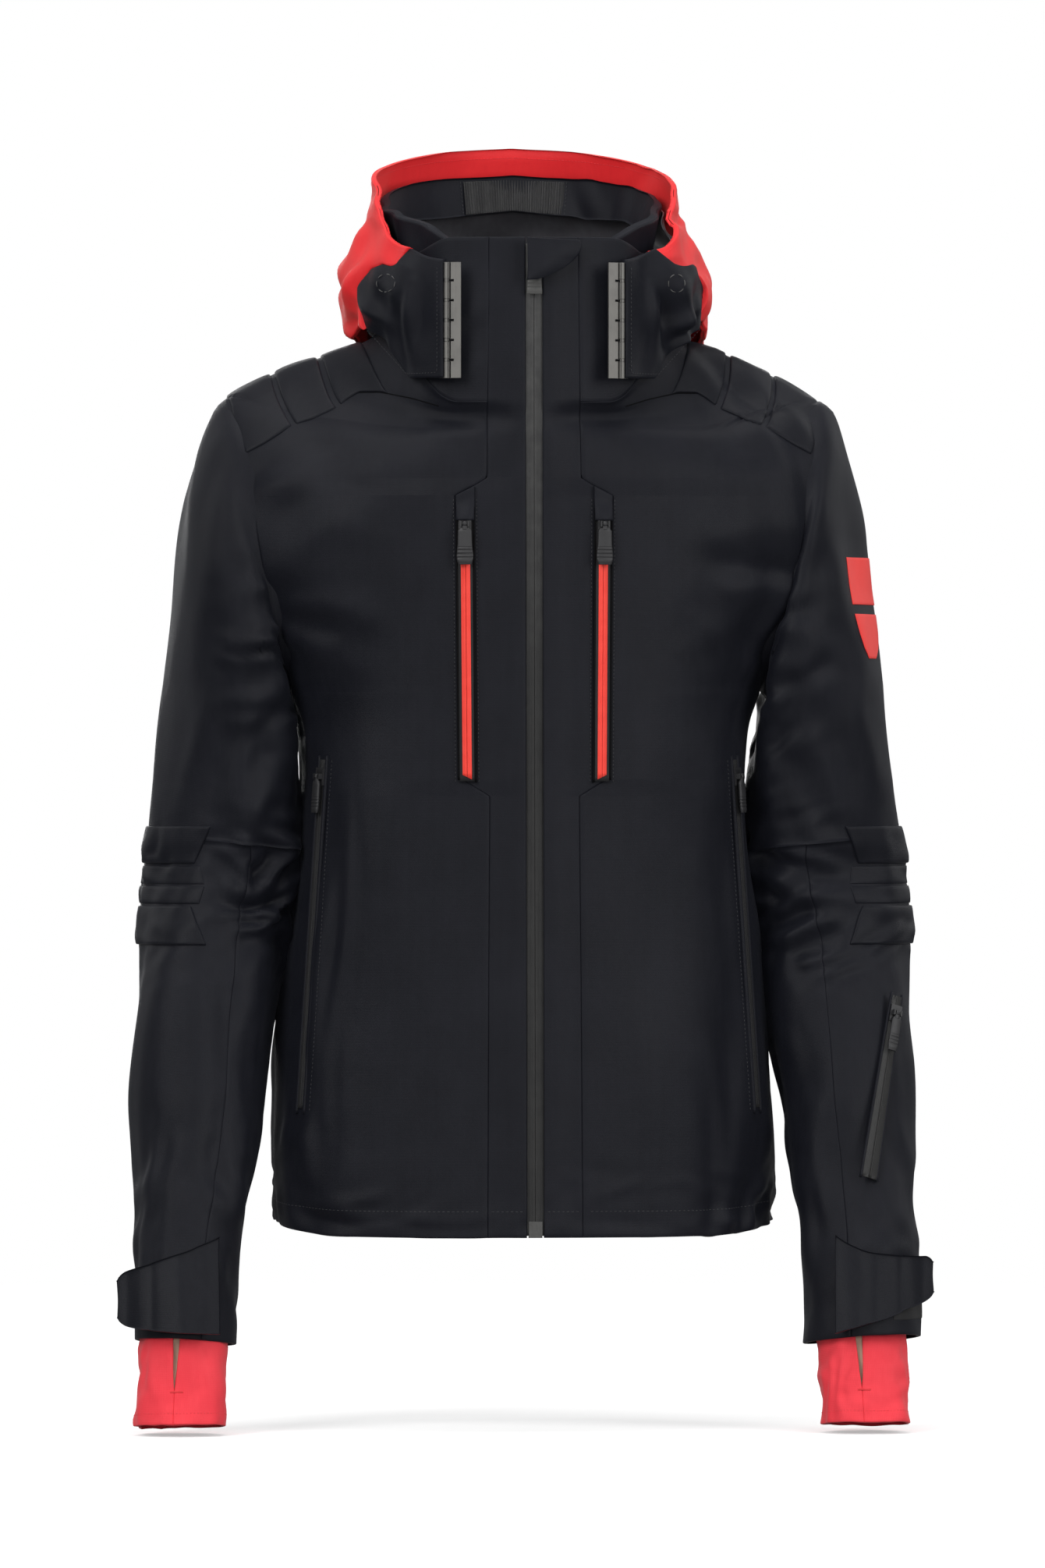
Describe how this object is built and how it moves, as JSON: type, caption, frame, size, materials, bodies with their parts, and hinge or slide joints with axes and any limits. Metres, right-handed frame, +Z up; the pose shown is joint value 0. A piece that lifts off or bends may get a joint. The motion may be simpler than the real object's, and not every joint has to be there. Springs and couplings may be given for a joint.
{
  "type": "ski jacket",
  "caption": "Insulated ski jacket with a stand-up collar, attached hood, zipped pockets, padded elbows, strap cuffs and wrist gaiters.",
  "frame": {"origin": "centre of the hem opening, on the level of the hem at the front zip", "axes": "+Z up along the body, -Y towards the wearer's front and the zip, +X towards the wearer's left"},
  "size_m": [0.602, 0.2839, 0.9475],
  "materials": {
    "shell_fabric": "fine stretch twill with a faint sheen",
    "inner_fabric": "light woven lining and wadding",
    "red_fabric": "smooth stretch fabric",
    "red_zip_tape": "coated zip tape",
    "dark_zip_tape": "coated zip tape",
    "grey_zip_tape": "coated zip tape",
    "moulded_hardware": "moulded, satin",
    "gunmetal": "gunmetal plating",
    "red_print": "raised heat-applied patch"
  },
  "bodies": {
    "root": {"front_panel_left": "shell_fabric", "front_panel_right": "shell_fabric", "back_panel": "shell_fabric", "shoulder_pads": "shell_fabric", "collar_shell": "shell_fabric", "collar_lining": "inner_fabric", "body_insulation": "inner_fabric", "body_lining": "inner_fabric", "powder_skirt": "inner_fabric", "powder_skirt_snaps": "gunmetal", "storm_flap": "inner_fabric", "front_zip": "grey_zip_tape", "front_zip_box": "gunmetal", "zip_garage": "shell_fabric", "chest_zips": "red_zip_tape", "chest_pocket_bags": "inner_fabric", "hand_zips": "dark_zip_tape", "hand_pocket_bags": "inner_fabric", "hanger_loop": "shell_fabric", "hem_drawcord": "shell_fabric", "hem_cord_locks": "moulded_hardware"},
    "hood": {"hood_crown": "red_fabric", "hood_flap_left": "shell_fabric", "hood_flap_right": "shell_fabric", "hood_rim_band": "shell_fabric", "hood_lining": "inner_fabric", "hood_catch_left": "gunmetal", "hood_catch_right": "gunmetal", "hood_catch_pins": "gunmetal"},
    "front_slider": {"front_slider": "moulded_hardware"},
    "front_puller": {"front_puller": "moulded_hardware"},
    "pass_slider": {"pass_slider": "moulded_hardware"},
    "pass_puller": {"pass_puller": "moulded_hardware"},
    "hood_leaf_left": {"hood_leaf_left": "gunmetal"},
    "upper_sleeve_left": {"upper_sleeve_left": "shell_fabric", "sleeve_lining_left": "inner_fabric", "elbow_pad_left": "shell_fabric", "sleeve_badge": "red_print"},
    "forearm_left": {"forearm_left": "shell_fabric", "forearm_pad_left": "shell_fabric", "wrist_gaiter_left": "red_fabric", "pass_zip": "grey_zip_tape"},
    "cuff_tab_left": {"cuff_tab_left": "shell_fabric"},
    "chest_slider_left": {"chest_slider_left": "moulded_hardware"},
    "chest_puller_left": {"chest_puller_left": "moulded_hardware"},
    "hand_slider_left": {"hand_slider_left": "moulded_hardware"},
    "hand_puller_left": {"hand_puller_left": "moulded_hardware"},
    "hood_leaf_right": {"hood_leaf_right": "gunmetal"},
    "upper_sleeve_right": {"upper_sleeve_right": "shell_fabric", "sleeve_lining_right": "inner_fabric", "elbow_pad_right": "shell_fabric"},
    "forearm_right": {"forearm_right": "shell_fabric", "forearm_pad_right": "shell_fabric", "wrist_gaiter_right": "red_fabric"},
    "cuff_tab_right": {"cuff_tab_right": "shell_fabric"},
    "chest_slider_right": {"chest_slider_right": "moulded_hardware"},
    "chest_puller_right": {"chest_puller_right": "moulded_hardware"},
    "hand_slider_right": {"hand_slider_right": "moulded_hardware"},
    "hand_puller_right": {"hand_puller_right": "moulded_hardware"}
  },
  "joints": [
    {"name": "hood_fold", "type": "hinge", "parent": "root", "child": "hood", "pos_m": [0, 0.095, 0.665], "axis": [-1, 0, 0], "range_deg": [0, 25]},
    {"name": "catch_leaf_turn_left", "type": "hinge", "parent": "hood", "child": "hood_leaf_left", "pos_m": [0.0645, -0.1105, 0.6735], "axis": [0, 0, 1], "range_deg": [0, 90]},
    {"name": "catch_leaf_turn_right", "type": "hinge", "parent": "hood", "child": "hood_leaf_right", "pos_m": [-0.0645, -0.1105, 0.6735], "axis": [0, 0, -1], "range_deg": [0, 90]},
    {"name": "shoulder_lift_left", "type": "hinge", "parent": "root", "child": "upper_sleeve_left", "pos_m": [0.195, 0, 0.52], "axis": [0, -1, 0], "range_deg": [0, 40]},
    {"name": "elbow_bend_left", "type": "hinge", "parent": "upper_sleeve_left", "child": "forearm_left", "pos_m": [0.2275, 0.008, 0.258], "axis": [-1, 0, 0], "range_deg": [0, 70]},
    {"name": "cuff_tab_open_left", "type": "hinge", "parent": "forearm_left", "child": "cuff_tab_left", "pos_m": [0.2275, -0.11824, -0.037], "axis": [0, -0.2756, -0.9613], "range_deg": [0, 70]},
    {"name": "shoulder_lift_right", "type": "hinge", "parent": "root", "child": "upper_sleeve_right", "pos_m": [-0.195, 0, 0.52], "axis": [0, 1, 0], "range_deg": [0, 40]},
    {"name": "elbow_bend_right", "type": "hinge", "parent": "upper_sleeve_right", "child": "forearm_right", "pos_m": [-0.2275, 0.008, 0.258], "axis": [-1, 0, 0], "range_deg": [0, 70]},
    {"name": "cuff_tab_open_right", "type": "hinge", "parent": "forearm_right", "child": "cuff_tab_right", "pos_m": [-0.2275, -0.11824, -0.037], "axis": [0, 0.2756, 0.9613], "range_deg": [0, 70]},
    {"name": "front_zip_slide", "type": "slide", "parent": "root", "child": "front_slider", "axis": [0, 0.0218, 0.9998], "range_m": [-0.66, 0]},
    {"name": "front_puller_swing", "type": "hinge", "parent": "front_slider", "child": "front_puller", "pos_m": [0, -0.11069, 0.72194], "axis": [-1, 0, 0], "range_deg": [0, 12]},
    {"name": "chest_zip_slide_left", "type": "slide", "parent": "root", "child": "chest_slider_left", "axis": [0.0074, 0.0148, 0.9999], "range_m": [-0.172, 0]},
    {"name": "chest_puller_swing_left", "type": "hinge", "parent": "chest_slider_left", "child": "chest_puller_left", "pos_m": [0.05169, -0.11562, 0.52404], "axis": [-0.9877, -0.1564, 0.0097], "range_deg": [0, 110]},
    {"name": "chest_zip_slide_right", "type": "slide", "parent": "root", "child": "chest_slider_right", "axis": [-0.0074, 0.0148, 0.9999], "range_m": [-0.172, 0]},
    {"name": "chest_puller_swing_right", "type": "hinge", "parent": "chest_slider_right", "child": "chest_puller_right", "pos_m": [-0.05169, -0.11562, 0.52404], "axis": [-0.9877, 0.1564, -0.0097], "range_deg": [0, 110]},
    {"name": "hand_zip_slide_left", "type": "slide", "parent": "root", "child": "hand_slider_left", "axis": [-0.0655, 0.0116, 0.9978], "range_m": [-0.228, 0]},
    {"name": "hand_puller_swing_left", "type": "hinge", "parent": "hand_slider_left", "child": "hand_puller_left", "pos_m": [0.15718, -0.06432, 0.33876], "axis": [-0.5727, -0.8193, -0.0281], "range_deg": [0, 110]},
    {"name": "hand_zip_slide_right", "type": "slide", "parent": "root", "child": "hand_slider_right", "axis": [0.0655, 0.0116, 0.9978], "range_m": [-0.228, 0]},
    {"name": "hand_puller_swing_right", "type": "hinge", "parent": "hand_slider_right", "child": "hand_puller_right", "pos_m": [-0.15718, -0.06432, 0.33876], "axis": [-0.5727, 0.8193, 0.0281], "range_deg": [0, 110]},
    {"name": "pass_zip_slide", "type": "slide", "parent": "forearm_left", "child": "pass_slider", "axis": [0.177, 0.2777, 0.9442], "range_m": [-0.112, 0]},
    {"name": "pass_puller_swing", "type": "hinge", "parent": "pass_slider", "child": "pass_puller", "pos_m": [0.27228, -0.07489, 0.16377], "axis": [-0.8885, -0.3675, 0.2747], "range_deg": [0, 110]}
  ]
}
